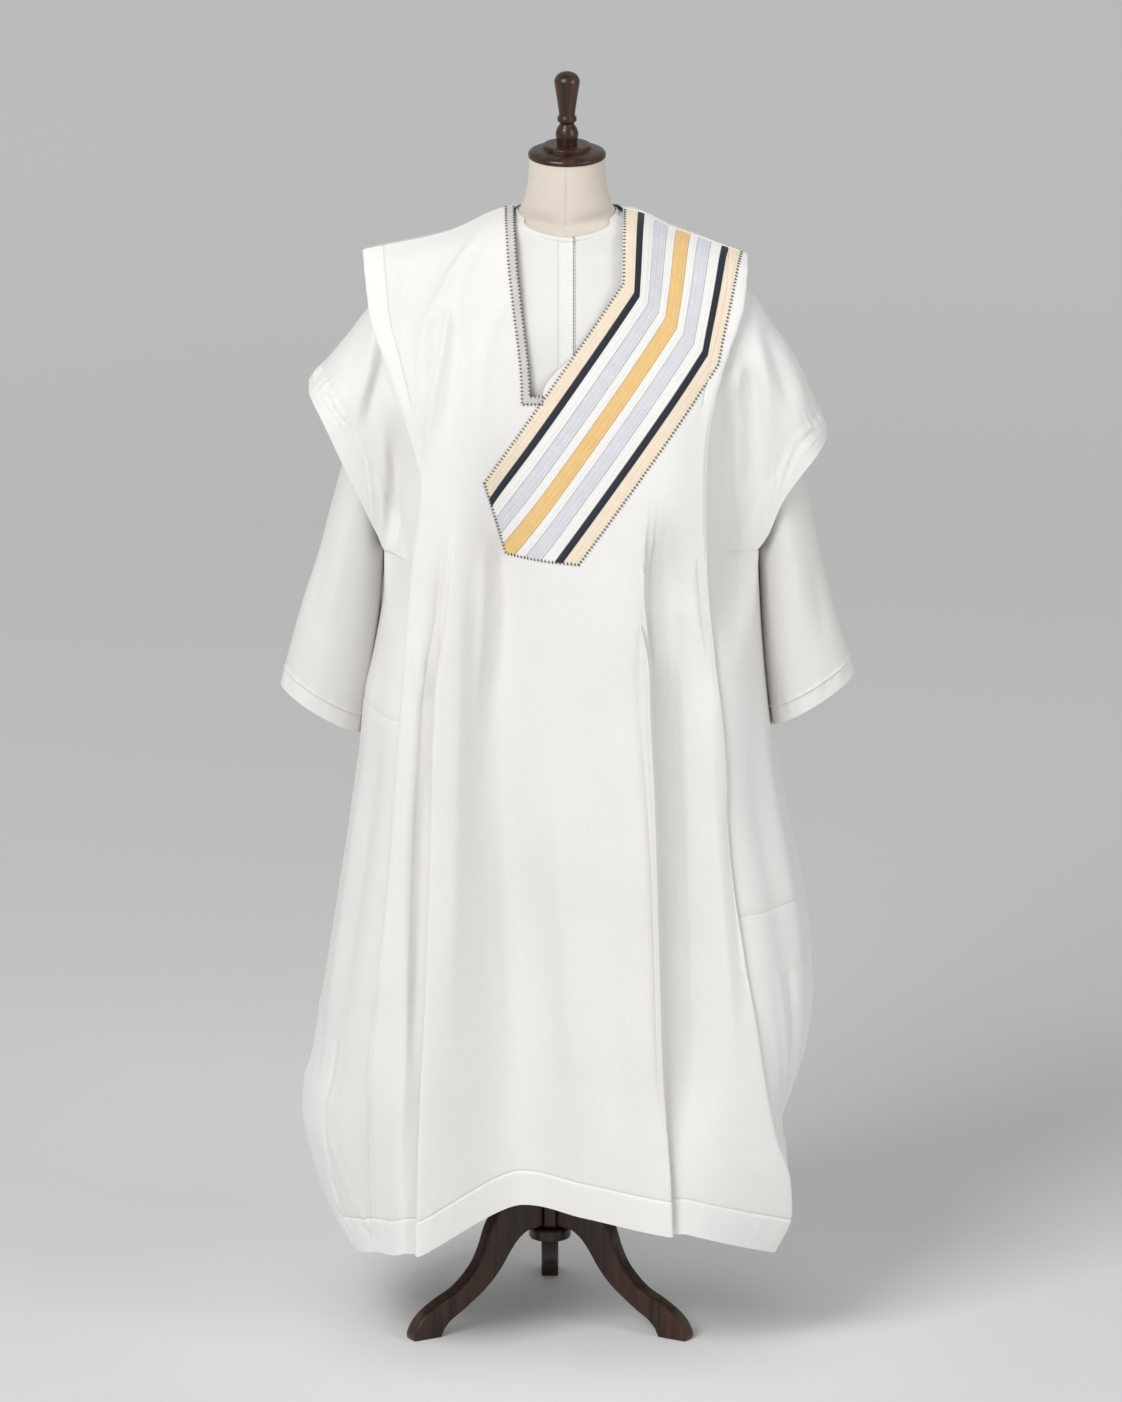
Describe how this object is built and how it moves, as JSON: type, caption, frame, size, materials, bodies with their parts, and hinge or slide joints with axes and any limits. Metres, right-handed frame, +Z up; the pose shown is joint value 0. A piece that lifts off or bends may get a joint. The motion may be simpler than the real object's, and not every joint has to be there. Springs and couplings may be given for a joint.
{
  "type": "kaftan on a dress form",
  "caption": "Long white layered kaftan robe with side slits, wide shoulder tiers, straight under-sleeves and a diagonal ribbon panel, worn by a limbless linen dress form on a tripod stand.",
  "frame": {"origin": "centre of the bounding box in plan, at the floor under the stand's feet", "axes": "+Z up, the robe's front faces -Y, +X towards the side with the ribbon panel"},
  "size_m": [0.802, 0.4887, 1.821],
  "materials": {
    "white_cloth": "fine woven warm white cotton with a soft sheen",
    "tunic_cloth": "fine plain woven off-white cotton, matt",
    "linen": "natural cream linen stretched over the form",
    "walnut": "dark stained walnut, satin lacquer",
    "cream": "ribbed cream ribbon",
    "navy": "ribbed navy ribbon",
    "white": "smooth white ribbon",
    "blue_grey": "ribbed pale blue-grey ribbon",
    "gold": "ribbed old-gold ribbon",
    "neck_ribbon": "ribbed grey-beige ribbon"
  },
  "bodies": {
    "root": {"robe_front": "white_cloth", "robe_back": "white_cloth", "tier_left": "white_cloth", "tier_right": "white_cloth", "side_panel_left": "white_cloth", "side_panel_right": "white_cloth", "side_gore_left": "white_cloth", "side_gore_right": "white_cloth", "neck_ribbon": "neck_ribbon", "under_sleeve_left": "tunic_cloth", "under_sleeve_right": "tunic_cloth", "yoke_front": "tunic_cloth", "yoke_back": "tunic_cloth", "placket": "tunic_cloth", "panel_ribbon_01_cream": "cream", "panel_ribbon_02_navy": "navy", "panel_ribbon_03_white": "white", "panel_ribbon_04_blue_grey": "blue_grey", "panel_ribbon_05_white": "white", "panel_ribbon_06_gold": "gold", "panel_ribbon_07_white": "white", "panel_ribbon_08_blue_grey": "blue_grey", "panel_ribbon_09_white": "white", "panel_ribbon_10_navy": "navy", "panel_ribbon_11_cream": "cream", "form_torso": "linen", "cap": "walnut", "finial": "walnut", "pole": "walnut", "hub": "walnut", "leg_left": "walnut", "leg_right": "walnut", "leg_back": "walnut"}
  },
  "joints": []
}
